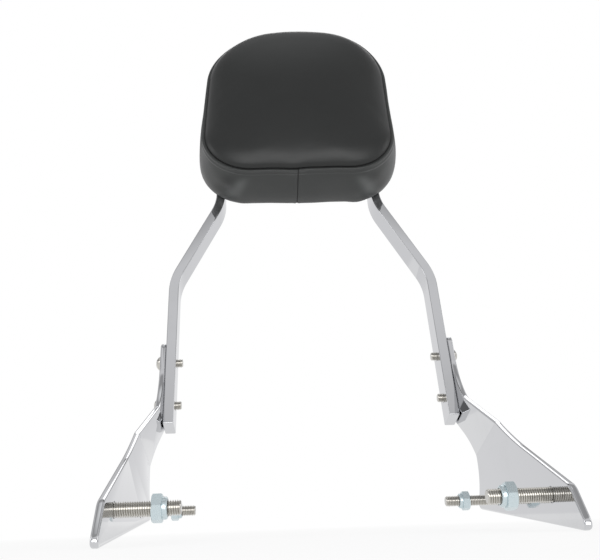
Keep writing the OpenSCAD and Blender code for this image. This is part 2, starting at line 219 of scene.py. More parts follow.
def makeHoop(material):
    legX = (hoop["legSpan"] - hoop["thick"]) / 2
    padX = (hoop["padSpan"] - hoop["thick"]) / 2
    slant = math.atan2(legX - padX, hoop["highBend"] - hoop["lowBend"])
    reach = hoop["bendRadius"] * math.tan(slant / 2)
    runs = [
        (hoop["lowBend"] - reach + hoop["legEnd"], slant, hoop["bendRadius"], hoop["bendSteps"]),
        (math.hypot(legX - padX, hoop["highBend"] - hoop["lowBend"]) - 2 * reach, -slant,
         hoop["bendRadius"], hoop["bendSteps"]),
        (hoop["top"] - hoop["topRadius"] - hoop["highBend"] - reach, math.pi / 2,
         hoop["topRadius"], hoop["topSteps"]),
    ]
    back = [(runs[2][0], -slant, runs[1][2], runs[1][3]), (runs[1][0], slant, runs[0][2], runs[0][3]),
            (runs[0][0], 0, 0, 0)]
    chain = runs + [(2 * (padX - hoop["topRadius"]), math.pi / 2, hoop["topRadius"], hoop["topSteps"])] + back
    bm = bmesh.new()
    face = roundedSection(bm, hoop["thick"], hoop["depth"], hoop["edge"], 4,
                          Matrix.Translation((legX, 0, -hoop["legEnd"])))
    heading = 0.0  # turned from straight up, towards the rider's right
    spot = Vector((legX, 0, -hoop["legEnd"]))
    for length, turn, radius, steps in chain:
        along = Vector((-math.sin(heading), 0, math.cos(heading)))
        face = growRun(bm, face, along * length)
        spot = spot + along * length
        if turn:
            side = Vector((-math.cos(heading), 0, -math.sin(heading))) * math.copysign(1, turn)
            centre = spot + side * radius
            face = growBend(bm, face, centre, -turn, steps)
            spot = centre + Matrix.Rotation(-turn, 3, "Y") @ (spot - centre)
            heading += turn
    bmesh.ops.remove_doubles(bm, verts=bm.verts, dist=0.0005)
    bmesh.ops.recalc_face_normals(bm, faces=bm.faces)
    ends = [edge for face in bm.faces if len(face.verts) > 4 for edge in face.edges]
    bmesh.ops.bevel(bm, geom=ends, offset=hoop["edge"] * 0.7, offset_type="OFFSET", affect="EDGES", segments=3,
                    profile=0.5, material=-1, clamp_overlap=True, loop_slide=True)
    piece = makeObject("hoop_bar", bm)
    radius = hoop["holeDiameter"] / 2
    mouth = radius + hoop["holeChamfer"]
    for sign in (-1, 1):
        for height in (0, hoop["holeGap"]):
            half = hoop["thick"] / 2
            drill = turned([(0, -half - 2), (mouth + 2, -half - 2), (radius, half - half - half + hoop["holeChamfer"]),
                            (radius, half - hoop["holeChamfer"]), (mouth + 2, half + 2), (0, half + 2)])
            tool = makeObject("drill", drill)
            tool.data.transform(Matrix.Translation((sign * legX, 0, height)) @ Matrix.Rotation(math.pi / 2, 4, "Y"))
            booleanWith(piece, tool, "DIFFERENCE")
    shadeRounded(piece)
    placeMesh(piece, hoopPlace)
    finishPiece(piece, material, "chrome", "upright_hoop")
    print("hoop made")


def makeStrap(name, node, height, material):
    length = hoop["padSpan"] - 2 * hoop["thick"]
    bm = bmesh.new()
    face = roundedSection(bm, strap["thick"], strap["width"], strap["edge"], 3,
                          Matrix.Rotation(math.pi / 2, 4, "Y") @ Matrix.Rotation(math.pi / 2, 4, "Z"))
    bmesh.ops.translate(bm, vec=(-length / 2, (strap["thick"] - hoop["depth"]) / 2, height), verts=bm.verts)
    growRun(bm, face, (length, 0, 0))
    bmesh.ops.recalc_face_normals(bm, faces=bm.faces)
    piece = makeObject(name, bm)
    for sign in (-1, 1):
        drill = turned([(0, -10), (strap["screwHole"] / 2, -10), (strap["screwHole"] / 2, 10), (0, 10)], 40)
        tool = makeObject("drill", drill)
        tool.data.transform(Matrix.Translation((sign * strap["screwGap"] / 2, -hoop["depth"] / 2, height))
                            @ Matrix.Rotation(math.pi / 2, 4, "X"))
        booleanWith(piece, tool, "DIFFERENCE")
    beads = bmesh.new()
    beads.from_mesh(piece.data)
    for sign in (-1, 1):
        addWeld(beads, sign * length / 2, strap["thick"] - hoop["depth"] / 2, height)
    beads.to_mesh(piece.data)
    beads.free()
    shadeRounded(piece, 40)
    placeMesh(piece, hoopPlace)
    finishPiece(piece, material, "chrome", node)


def addWeld(bm, x, y, height):
    # rippled fillet in the corner between the strap's rear face and the hoop's leg
    ripples = strap["beadRipples"]
    rows = ripples * 4
    start = height - strap["width"] / 2 + 1
    travel = strap["width"] - 2
    ring = bmesh.ops.create_circle(bm, cap_ends=True, segments=16, radius=strap["bead"] * 0.35,
                                   matrix=Matrix.Translation((x, y, start)))
    face = ring["verts"][0].link_faces[0]
    size = 0.35
    for row in range(1, rows + 1):
        share = row / rows
        wanted = 0.86 + 0.14 * abs(math.sin(math.pi * ripples * share))
        wanted *= min(1, 0.35 + 4 * share, 0.35 + 4 * (1 - share))
        face = growRun(bm, face, (0, 0, travel / rows))
        middle = Vector((x, y, start + travel * share))
        bmesh.ops.scale(bm, vec=Vector((wanted, wanted, 1)) / size, verts=list(face.verts),
                        space=Matrix.Translation(-middle))
        size = wanted
    return bm


# Side plates: cut flat, edges rounded, drilled and counterbored, then folded at two lines.

plate = {
    "thick": 5.0, "joggle": 9.0, "armFace": 132.0, "edge": 1.5, "strutGap": 120.0,
    "armWidth": 25.5, "armTip": 17.0, "tipRadius": 7.5, "edgeSlope": 4.0, "edgeDrop": 19.0,
    "nose": 55.0, "noseRadius": 5.0, "brow": (22.0, 4.7), "browRadius": 14.0,
    "crest": (80.0, 46.0), "crestRadius": 500.0, "heel": 65.5, "heelRadius": 6.0,
    "hollow": (22.5, 70.5), "hollowRadius": 45.0, "elbowRadius": 4.0, "throat": 3.5, "throatRadius": 68.0,
    "highFold": 16.5, "lowFold": 59.0, "foldRadius": 9.0, "foldSteps": 6,
    "recess": 2.5, "lip": 0.6, "frontHole": 11.0, "frontRecess": 21.0, "rearHole": 9.0, "rearRecess": 17.5,
    "armHole": 9.0,
}


def armPoint(rear, up):
    lean = math.radians(hoop["lean"])
    return Vector((hoop["holeRear"] + rear * math.cos(lean) + up * math.sin(lean),
                   hoop["holeUp"] - rear * math.sin(lean) + up * math.cos(lean)))


def plateCorners():
    slope = math.tan(math.radians(plate["edgeSlope"]))
    half = plate["armWidth"] / 2
    tip = hoop["holeGap"] + plate["armTip"]
    heel = plate["strutGap"] + plate["heel"]
    return [
        ((-plate["nose"], -plate["nose"] * slope - plate["edgeDrop"]), plate["noseRadius"]),
        ((heel, heel * slope - plate["edgeDrop"]), plate["heelRadius"]),
        (armPoint(-plate["hollow"][0], -plate["hollow"][1]), plate["hollowRadius"]),
        (armPoint(half, -plate["highFold"]), plate["elbowRadius"]),
        (armPoint(half, tip), plate["tipRadius"]),
        (armPoint(-half, tip), plate["tipRadius"]),
        (armPoint(-half, plate["throat"]), plate["throatRadius"]),
        (plate["crest"], plate["crestRadius"]),
        ((plate["brow"][0] - plate["nose"], plate["brow"][1]), plate["browRadius"]),
    ]


def foldAt(up):
    # distance of the sheet's middle from its arm, and its slope, at a height along the arm
    angle = math.atan2(plate["joggle"], plate["lowFold"] - plate["highFold"])
    radius = plate["foldRadius"]
    reach = radius * math.tan(angle / 2)
    highStart = -plate["highFold"] + reach
    lowStart = -plate["lowFold"] - reach
    if up >= highStart:
        return 0.0, 0.0
    if up <= lowStart:
        return plate["joggle"], 0.0
    if up > highStart - radius * math.sin(angle):
        turn = math.asin((highStart - up) / radius)
        return radius * (1 - math.cos(turn)), turn
    if up < lowStart + radius * math.sin(angle):
        turn = math.asin((up - lowStart) / radius)
        return plate["joggle"] - radius * (1 - math.cos(turn)), turn
    return (-plate["highFold"] - up) * math.tan(angle), angle


def drillTool(holeRadius, recessRadius, x, y, z):
    lip = plate["lip"]
    thick = plate["thick"]
    floor = thick - plate["recess"]
    arc = [(1 - math.cos(turn), math.sin(turn)) for turn in (math.pi / 2 * k / 4 for k in range(5))]
    profile = [(0, -1), (holeRadius + lip, -1)]
    profile += [(holeRadius + lip * (1 - side), lip * (1 - back)) for back, side in reversed(arc)]
    if recessRadius:
        profile += [(holeRadius, floor), (recessRadius - 0.5, floor), (recessRadius, floor + 0.5)]
        wall = recessRadius
    else:
        wall = holeRadius
    profile += [(wall + lip * (1 - side), thick - lip * (1 - back)) for back, side in arc]
    profile += [(wall + lip, thick + 1), (0, thick + 1)]
    tool = makeObject("drill", turned(profile, 56))
    tool.data.transform(Matrix.Translation((x, y, z)) @ Matrix.Rotation(math.pi / 2, 4, "Y"))
    return tool


def makePlates(material):
    bm = bmesh.new()
    corners = plateCorners()
    line = [bm.verts.new((0, point[0], point[1])) for point, radius in corners]
    bm.faces.new(line)
    for index, vert in enumerate(line):
        here = vert.co.copy()
        before = Vector((0, *corners[index - 1][0])) - here
        after = Vector((0, *corners[(index + 1) % len(corners)][0])) - here
        half = before.angle(after) / 2
        radius = corners[index][1]
        steps = max(6, min(24, round(radius * (math.pi - 2 * half) / 2.2)))
        bmesh.ops.bevel(bm, geom=[vert], offset=radius / math.tan(half), offset_type="OFFSET",
                        affect="VERTICES", segments=steps, profile=0.5, material=-1, clamp_overlap=False)
    growRun(bm, list(bm.faces)[0], (plate["thick"], 0, 0))
    bmesh.ops.recalc_face_normals(bm, faces=bm.faces)
    rims = [edge for face in bm.faces if len(face.verts) > 4 for edge in face.edges]
    bmesh.ops.bevel(bm, geom=rims, offset=plate["edge"], offset_type="OFFSET", affect="EDGES", segments=4,
                    profile=0.5, material=-1, clamp_overlap=False, loop_slide=True)
    piece = makeObject("plate_left", bm)
    for spot, hole, recess in ((0, "frontHole", "frontRecess"), (plate["strutGap"], "rearHole", "rearRecess")):
        booleanWith(piece, drillTool(plate[hole] / 2, plate[recess] / 2, 0, spot, 0), "DIFFERENCE")
    for up in (0, hoop["holeGap"]):
        rear, high = armPoint(0, up)
        booleanWith(piece, drillTool(plate["armHole"] / 2, 0, 0, rear, high), "DIFFERENCE")
    editMesh(piece, foldPlate)
    shadeRounded(piece)
    twin = copyMesh(piece, "plate_right")
    twin.data.transform(Matrix.Scale(-1, 4, (1, 0, 0)))
    twin.data.flip_normals()
    for side, node in ((piece, "side_plate_left"), (twin, "side_plate_right")):
        placeMesh(side, Matrix.Identity(4))
        finishPiece(side, material, "chrome", node)
    print("side plates made")


def foldPlate(bm):
    lean = math.radians(hoop["lean"])
    alongArm = Vector((0, math.sin(lean), math.cos(lean)))
    hole = Vector((0, hoop["holeRear"], hoop["holeUp"]))
    angle = math.atan2(plate["joggle"], plate["lowFold"] - plate["highFold"])
    radius = plate["foldRadius"]
    reach = radius * math.tan(angle / 2)
    for step in range(plate["foldSteps"] + 1):
        travel = radius * math.sin(angle * step / plate["foldSteps"])
        for up in (-plate["highFold"] + reach - travel, -plate["lowFold"] - reach + travel):
            bmesh.ops.bisect_plane(bm, geom=list(bm.verts) + list(bm.edges) + list(bm.faces), dist=0.0001,
                                   plane_co=hole + alongArm * up, plane_no=alongArm)
    middle = plate["armFace"] + plate["thick"] / 2
    for vert in bm.verts:
        up = (vert.co - hole).dot(alongArm)
        offset, turn = foldAt(up)
        side = vert.co.x - plate["thick"] / 2
        vert.co.x = middle + offset + side * math.cos(turn)
        vert.co += alongArm * side * math.sin(turn)


# Fasteners. A screw stands on Z = 0 under its head, with its shaft along -Z.

screw = {
    "headWidth": 1.75, "headHeight": 0.55, "flat": 0.74, "rim": 0.07, "socket": 0.62, "socketDepth": 0.3,
    "pitch": {10.0: 1.5, 8.0: 1.25, 6.0: 1.0}, "threadDepth": 0.58, "threadSteps": 28, "tip": 1.0,
}
strutBolt = {"length": 45.0, "front": 10.0, "rear": 8.0}
legScrew = {"size": 8.0, "length": 20.0}
padScrew = {"size": 6.0, "length": 16.0, "washer": 1.6, "washerWidth": 14.0}
nut = {"across": 1.65, "height": 1.0, "hexPart": 0.68, "collar": 1.42, "edge": 0.12, "strut": 24.0,
       "ringDepth": 0.2, "ringWall": 0.07, "ringLip": 0.06}


def makeThread(size, length):
    pitch = screw["pitch"][size]
    outer = size / 2
    inner = outer - screw["threadDepth"] * pitch
    turns = math.ceil(length / pitch) + 2
    bm = bmesh.new()
    line = [bm.verts.new((radius, 0, share * pitch)) for radius, share in
            ((inner, 0), (inner, 0.18), (outer, 0.46), (outer, 0.6), (inner, 0.88), (inner, 1))]
    ribs = [bm.edges.new(pair) for pair in zip(line, line[1:])]
    bmesh.ops.spin(bm, geom=line + ribs, cent=(0, 0, 0), axis=(0, 0, 1),
                   dvec=(0, 0, pitch / screw["threadSteps"]), angle=math.tau * turns,
                   steps=screw["threadSteps"] * turns, use_merge=False, use_duplicate=False)
    bmesh.ops.remove_doubles(bm, verts=bm.verts, dist=0.002)
    bmesh.ops.translate(bm, vec=(0, 0, -length - pitch), verts=bm.verts)
    for height, way in ((-length, -1), (0.5, 1)):
        bmesh.ops.bisect_plane(bm, geom=list(bm.verts) + list(bm.edges) + list(bm.faces), dist=0.0001,
                               plane_co=(0, 0, height), plane_no=(0, 0, way), clear_outer=True)
    bmesh.ops.holes_fill(bm, edges=[edge for edge in bm.edges if edge.is_boundary])
    bmesh.ops.recalc_face_normals(bm, faces=bm.faces)
    rod = makeObject("rod", bm)
    tip = screw["tip"]
    pencil = makeObject("pencil", turned([(0, -length), (outer - tip, -length), (outer + 0.1, -length + tip + 0.1),
                                          (outer + 0.1, 2), (0, 2)], 56))
    booleanWith(rod, pencil, "INTERSECT")
    return rod


def makeScrew(name, size, length):
    radius = screw["headWidth"] * size / 2
    height = screw["headHeight"] * size
    flat = screw["flat"] * size / 2
    rim = screw["rim"] * size
    across = screw["socket"] * size
    drop = (radius ** 2 - flat ** 2 - (height - rim) ** 2) / (2 * (height - rim))
    ball = math.hypot(radius, drop)
    start = math.asin(drop / ball)
    end = math.acos(flat / ball)
    dome = [(ball * math.cos(turn), ball * math.sin(turn) - drop + rim)
            for turn in (start + (end - start) * k / 12 for k in range(13))]
    corner = across / 2 / math.cos(math.pi / 6)
    profile = [(0, height - 0.25), (corner * 0.95, height - 0.25), (corner * 1.06, height)]
    profile += list(reversed(dome)) + [(radius, 0.25), (radius - 0.25, 0), (0, 0)]
    bm = turned(profile, 64)
    piece = makeObject(name, bm)
    socket = makeObject("socket", hexPrism(across, height - screw["socketDepth"] * size, height + 1))
    booleanWith(piece, socket, "DIFFERENCE")
    floor = makeObject("floor", turned([(0, height - screw["socketDepth"] * size - across * 0.16),
                                        (across * 0.46, height - screw["socketDepth"] * size + 0.01),
                                        (0, height - screw["socketDepth"] * size + 0.3)], 32))
    booleanWith(piece, floor, "DIFFERENCE")
    booleanWith(piece, makeThread(size, length), "UNION")
    shadeRounded(piece, 34)
    return piece


def makeNut(name, size):
    across = nut["across"] * size
    hexHeight = nut["hexPart"] * nut["height"] * size
    full = nut["height"] * size
    widest = across / math.cos(math.pi / 6)
    slope = math.tan(math.radians(30))
    edge = nut["edge"] * size
    narrow = widest / 2 - edge
    collar = nut["collar"] * size / 2
    piece = makeObject(name, hexPrism(across, 0, hexHeight))
    reach = hexHeight / 2
    cone = makeObject("cone", turned([(0, 0), (narrow, 0), (narrow + reach / slope, reach),
                                      (narrow, hexHeight), (0, hexHeight)], 72))
    booleanWith(piece, cone, "INTERSECT")
    lip = nut["ringLip"] * size
    ringBase = full - lip - nut["ringDepth"] * size
    curve = [(collar - lip * (1 - math.cos(turn)) * 2.2, full - lip * 2.4 * (1 - math.sin(turn)))
             for turn in (math.pi / 2 * k / 6 for k in range(7))]
    crown = makeObject("crown", turned([(0, 0.5), (collar, 0.5)] + curve + [(0, full)], 64))
    booleanWith(piece, crown, "UNION")
    ringRadius = collar - nut["ringWall"] * size
    pocket = makeObject("pocket", turned([(0, -1), (size / 2 + 0.8, -1), (size / 2, 0.8), (size / 2, ringBase),
                                          (ringRadius, ringBase), (ringRadius, full - lip),
                                          (ringRadius - 0.1 * size, full + 0.01), (ringRadius - 0.1 * size, full + 1),
                                          (0, full + 1)], 64))
    booleanWith(piece, pocket, "DIFFERENCE")
    editMesh(piece, lambda bm: bevelCreases(bm, 0.18, 2, 40))
    shadeRounded(piece, 50)
    return piece


def makeRing(name, size):
    lip = nut["ringLip"] * size
    depth = nut["ringDepth"] * size
    outer = (nut["collar"] / 2 - nut["ringWall"]) * size
    top = nut["height"] * size - lip
    bm = turned([(size / 2, top - depth), (outer, top - depth), (outer, top), (size / 2 + 0.3, top),
                 (size / 2, top - 0.3), (size / 2, top - depth)], 64)
    piece = makeObject(name, bm)
    shadeRounded(piece, 40)
    return piece


def sidePlace(sign, x, y, z=0.0):
    # the fastener's own Z points outboard: +X on the left, -X on the right, by a half turn and not a mirror
    turn = Matrix.Rotation(math.pi / 2, 4, "Y") if sign > 0 else Matrix.Rotation(-math.pi / 2, 4, "Y")
    return Matrix.Translation((sign * x * millimetre, y * millimetre, z * millimetre)) @ turn


def makeFasteners(steel, zinc, nylon):
    recessFace = plate["armFace"] + plate["joggle"] + plate["thick"] - plate["recess"]
    nutFace = plate["armFace"] + plate["joggle"] - nut["strut"]
    sides = (("left", 1), ("right", -1))
    for row, spot in (("front", 0.0), ("rear", plate["strutGap"])):
        size = strutBolt[row]
        bolt = makeScrew("bolt", size, strutBolt["length"])
        lock = makeNut("lock", size)
        ring = makeRing("ring", size)
        for side, sign in sides:
            twin = copyMesh(bolt, f"strut_bolt_{row}_{side}_turned")
            placeMesh(twin, sidePlace(sign, recessFace, spot) @ Matrix.Rotation(0.3 + spot, 4, "Z"))
            finishPiece(twin, steel, "stainless", f"strut_bolt_{row}_{side}")
            place = sidePlace(sign, nutFace, spot) @ Matrix.Rotation(math.pi, 4, "X")
            twin = copyMesh(lock, f"lock_nut_{row}_{side}_plated")
            placeMesh(twin, place @ Matrix.Rotation(0.2 * sign, 4, "Z"))
            finishPiece(twin, zinc, "zinc", f"lock_nut_{row}_{side}")
            twin = copyMesh(ring, f"nylon_ring_{row}_{side}_moulded")
            placeMesh(twin, place)
            finishPiece(twin, nylon, "nylon", f"nylon_ring_{row}_{side}")
        for spare in (bolt, lock, ring):
            bpy.data.objects.remove(spare)
    short = makeScrew("short", legScrew["size"], legScrew["length"])
    for row, up in (("low", 0), ("high", hoop["holeGap"])):
        rear, high = armPoint(0, up)
        for side, sign in sides:
            twin = copyMesh(short, f"leg_screw_{row}_{side}_turned")
            placeMesh(twin, sidePlace(sign, plate["armFace"] + plate["thick"], rear, high)
                      @ Matrix.Rotation(0.5 * sign + up, 4, "Z"))
            finishPiece(twin, steel, "stainless", f"leg_screw_{row}_{side}")
    bpy.data.objects.remove(short)
    makePadScrews(steel, zinc)
    print("fasteners made")


def makePadScrews(steel, zinc):
    size = padScrew["size"]
    small = makeScrew("small", size, padScrew["length"])
    wide = padScrew["washerWidth"] / 2
    bore = size / 2 + 0.25
    disc = turned([(bore, 0), (wide, 0), (wide, padScrew["washer"]), (bore, padScrew["washer"]), (bore, 0)], 56)
    bevelCreases(disc, 0.25, 2, 40)
    washer = makeObject("washer", disc)
    shadeRounded(washer, 50)
    face = strap["thick"] - hoop["depth"] / 2
    for row, height in zip(("low", "high"), strap["heights"]):
        for side, sign in (("left", 1), ("right", -1)):
            def standing(y):
                spot = Vector((sign * strap["screwGap"] / 2, y, height)) * millimetre
                return hoopPlace @ Matrix.Translation(spot) @ Matrix.Rotation(-math.pi / 2, 4, "X")
            twin = copyMesh(washer, f"pad_washer_{row}_{side}_plated")
            placeMesh(twin, standing(face))
            finishPiece(twin, zinc, "zinc", f"pad_washer_{row}_{side}")
            twin = copyMesh(small, f"pad_screw_{row}_{side}_turned")
            placeMesh(twin, standing(face + padScrew["washer"]) @ Matrix.Rotation(sign + height, 4, "Z"))
            finishPiece(twin, steel, "stainless", f"pad_screw_{row}_{side}")
    for spare in (small, washer):
        bpy.data.objects.remove(spare)


# The pad: a face panel and a band sewn together, swollen by the foam, with a back panel.

pad = {
    "width": 193.5, "topWidth": 184.0, "height": 193.0, "base": 227.0, "rise": 12.4,
    "lowCorner": 46.0, "highCorner": 78.0, "arch": 140.0,
    "back": -12.0, "band": 51.0, "swell": 6.5, "flare": 3.4, "lean": 1.9, "tuck": 3.0, "crown": 20.0, "start": 1.0,
    "ringStep": 2.0, "seamDepth": 0.9, "seamWidth": 0.5, "lip": 0.9, "ridge": 1.05, "ridgeWidth": 6.2, "sag": 1.2,
    "voxel": 5.0, "pressure": 1.6, "frames": 20, "cap": 3.0, "follow": 0.4, "seamReach": 22.0, "roll": 0.7,
    "fold": 0.8, "valley": 1.3, "foldWidth": 9.0, "drift": 1.0, "skew": 3.8, "shoulder": 2.8, "lap": 4.1, "recess": 1.55,
    "joinX": -2.0, "joinDepth": 0.8, "joinWidth": 0.6,
}
backPanel = {"inset": 4.5, "thick": 1.6, "edge": 0.7}


def roundCorner(bm, vert, radius, spacing):
    ways = [edge.other_vert(vert).co - vert.co for edge in vert.link_edges]
    half = ways[0].angle(ways[1]) / 2
    steps = max(4, round(radius * (math.pi - 2 * half) / spacing))
    bmesh.ops.bevel(bm, geom=[vert], offset=radius / math.tan(half), offset_type="OFFSET", affect="VERTICES",
                    segments=steps, profile=0.5, material=-1, clamp_overlap=False)


def outlineLoop(bm, spacing):
    # closed loop of edges in the pad's own plane (X across, Z up), centred on the pad
    low, high, half = pad["width"] / 2, pad["topWidth"] / 2, pad["height"] / 2
    corners = [(-low, -half, pad["lowCorner"]), (low, -half, pad["lowCorner"]), (high, half, pad["highCorner"]),
               (0, half + pad["rise"], pad["arch"]), (-high, half, pad["highCorner"])]
    line = [bm.verts.new((x, 0, z)) for x, z, radius in corners]
    bm.faces.new(line)
    for vert, corner in zip(line, corners):
        roundCorner(bm, vert, corner[2], spacing)
    bmesh.ops.delete(bm, geom=list(bm.faces), context="FACES_ONLY")
    for edge in list(bm.edges):
        cuts = int(edge.calc_length() / spacing - 0.5)
        if cuts > 0:
            bmesh.ops.subdivide_edges(bm, edges=[edge], cuts=cuts)
    return list(bm.edges)


def outwardAt(vert):
    ways = []
    for edge in vert.link_edges:
        along = (edge.other_vert(vert).co - vert.co).normalized()
        ways.append(along)
    across = (ways[0] - ways[1]).normalized()
    square = Vector((across.z, 0, -across.x))
    return square if square.dot(vert.co) > 0 else -square


def padRings():
    # one entry per ring from the back to the middle of the face: kind, share, distance from the seam
    rings = []
    band = pad["band"]
    steps = int(band / pad["ringStep"])
    for step in range(steps + 1):
        share = step / steps
        rings.append(("band", share, band * (1 - share)))
    for near in (6.9, 6.5, 6.2, 5.8, 5.2, 3.0, 1.6, 1.2, 0.9, 0.6, 0.3):
        rings.append(("band", 1 - near / band, near))
    rings = sorted(rings, key=lambda ring: ring[1])
    reach = min(pad["width"], pad["height"]) / 2
    face = [("face", 1 - near / reach, near) for near in (0.004, 0.015, 0.04, 0.08, 0.16, 0.3, 0.6, 0.9, 1.3, 1.8)]
    inner = 2.6
    while inner < reach - 4:
        face.append(("face", 1 - inner / reach, inner))
        inner += min(1.0 + inner * 0.08, 4.5)
    return rings + face


def swellAt(base, outward):
    # the band stands out further at the sides, most of all beside the lower corners and to the right
    flare = pad["flare"] * abs(outward.x) * smoothStep(100, -60, base.z)
    return pad["swell"] + flare + pad["lean"] * max(0, outward.x)


def ringPoint(base, outward, ring, start):
    kind, share, near = ring
    if kind == "band":
        grow = swellAt(base, outward) * math.sqrt(max(0, 1 - share ** 2)) - pad["tuck"] * math.exp(-(pad["band"] - near) / 5)
        depth = pad["back"] - pad["band"] * share
        spot = base + outward * (grow - start * min(1, near / 8))
        return Vector((spot.x, depth, spot.z))
    rise = pad["crown"] * math.sqrt(max(0, 1 - share ** 2))
    spot = base * share
    return Vector((spot.x, pad["back"] - pad["band"] - rise + start * min(1, near / 8), spot.z))


def padShell(start):
    bm = bmesh.new()
    loop = outlineLoop(bm, pad["ringStep"])
    base = bm.verts.layers.float_vector.new("base")
    outward = bm.verts.layers.float_vector.new("outward")
    near = bm.verts.layers.float.new("fromSeam")
    for vert in bm.verts:
        vert[base] = vert.co
        vert[outward] = outwardAt(vert)
    rings = padRings()
    for index, ring in enumerate(rings):
        verts = {vert for edge in loop for vert in edge.verts}
        if index:
            grown = bmesh.ops.extrude_edge_only(bm, edges=loop)["geom"]
            loop = [edge for edge in edgesOf(grown) if all(vert not in verts for vert in edge.verts)]
            verts = set(vertsOf(grown))
        else:
            first = list(loop)
        for vert in verts:
            vert.co = ringPoint(vert[base], vert[outward], ring, start)
            vert[near] = ring[2] if ring[0] == "band" else -ring[2]
    for inset, sunk in ((pad["lap"], 0), (pad["lap"] + 0.3, pad["recess"])):  # the band laps over, the panel sits sunk
        verts = {vert for edge in first for vert in edge.verts}
        grown = bmesh.ops.extrude_edge_only(bm, edges=first)["geom"]
        first = [edge for edge in edgesOf(grown) if all(vert not in verts for vert in edge.verts)]
        for vert in vertsOf(grown):
            spot = vert[base] + vert[outward] * (swellAt(vert[base], vert[outward]) - pad["tuck"] - inset)
            vert.co = Vector((spot.x, pad["back"] - sunk, spot.z))
            vert[near] = 99
    for rim in (first, loop):
        bmesh.ops.edgeloop_fill(bm, edges=rim)
    bmesh.ops.poke(bm, faces=[face for face in bm.faces if len(face.verts) > 4])
    bmesh.ops.translate(bm, vec=(0, 0, pad["base"] + pad["height"] / 2), verts=bm.verts)
    bmesh.ops.recalc_face_normals(bm, faces=bm.faces)
    return bm


def swollenPad():
    # foam pushing the cover out: a cloth simulation on an even mesh, held at the back
    plain = makeObject("pad_swelling", padShell(pad["start"]))
    plain.data.transform(Matrix.Scale(millimetre, 4))
    even = plain.modifiers.new("even", "REMESH")
    even.mode = "VOXEL"
    even.voxel_size = pad["voxel"] * millimetre
    bakeModifiers(plain)
    held = plain.vertex_groups.new(name="held")
    back = (pad["back"] - 4) * millimetre
    held.add([vert.index for vert in plain.data.vertices if vert.co.y > back], 1, "REPLACE")
    cloth = plain.modifiers.new("cloth", "CLOTH")
    cloth.settings.use_pressure = True
    cloth.settings.uniform_pressure_force = pad["pressure"]
    cloth.settings.tension_stiffness = 12
    cloth.settings.compression_stiffness = 12
    cloth.settings.shear_stiffness = 6
    cloth.settings.bending_stiffness = 0.6
    cloth.settings.quality = 6
    cloth.settings.vertex_group_mass = "held"
    cloth.settings.effector_weights.gravity = 0
    cloth.collision_settings.use_collision = False
    cloth.collision_settings.use_self_collision = False
    scene = bpy.context.scene
    scene.frame_start = 1
    scene.frame_end = pad["frames"]
    cloth.point_cache.frame_start = 1
    cloth.point_cache.frame_end = pad["frames"]
    for step in range(1, pad["frames"] + 1):
        scene.frame_set(step)
    bakeModifiers(plain)
    scene.frame_set(1)
    plain.data.transform(Matrix.Scale(1 / millimetre, 4))
    bm = bmesh.new()
    bm.from_mesh(plain.data)
    surface = BVHTree.FromBMesh(bm)
    bm.free()
    bpy.data.objects.remove(plain)
    return surface


def smoothStep(low, high, value):
    share = min(1, max(0, (value - low) / (high - low)))
    return share * share * (3 - 2 * share)


def alongCover(near):
    # signed distance from the seam along the cover itself; the face rises steeply beside it
    if near >= 0:
        return near
    share = 1 + near / (min(pad["width"], pad["height"]) / 2)
    return -math.hypot(near, pad["crown"] * math.sqrt(max(0, 1 - share ** 2)))


def seamDrift(vert, near, middleUp):
    # hand sewing: the seam wanders a little, and the cover leans towards one shoulder
    x, up = vert.co.x, vert.co.z - middleUp
    free = smoothStep(0, 20, pad["back"] - vert.co.y)
    move = Vector((pad["skew"] * smoothStep(-70, 110, up) * free, 0, 0))
    if up < -60:
        wander = math.exp(-((x - 34) / 24) ** 2) - math.exp(-((x + 6) / 9) ** 2)
        wander += 0.5 * noise.noise(Vector((x * 0.05, 5.3, 0.0)))
        move.z += pad["drift"] * wander * math.exp(-(near / 7) ** 2)
    full = math.exp(-(((x - 58) / 34) ** 2 + ((up - 88) / 34) ** 2))
    return move + Vector((0.6, 0, 0.8)) * pad["shoulder"] * full * free


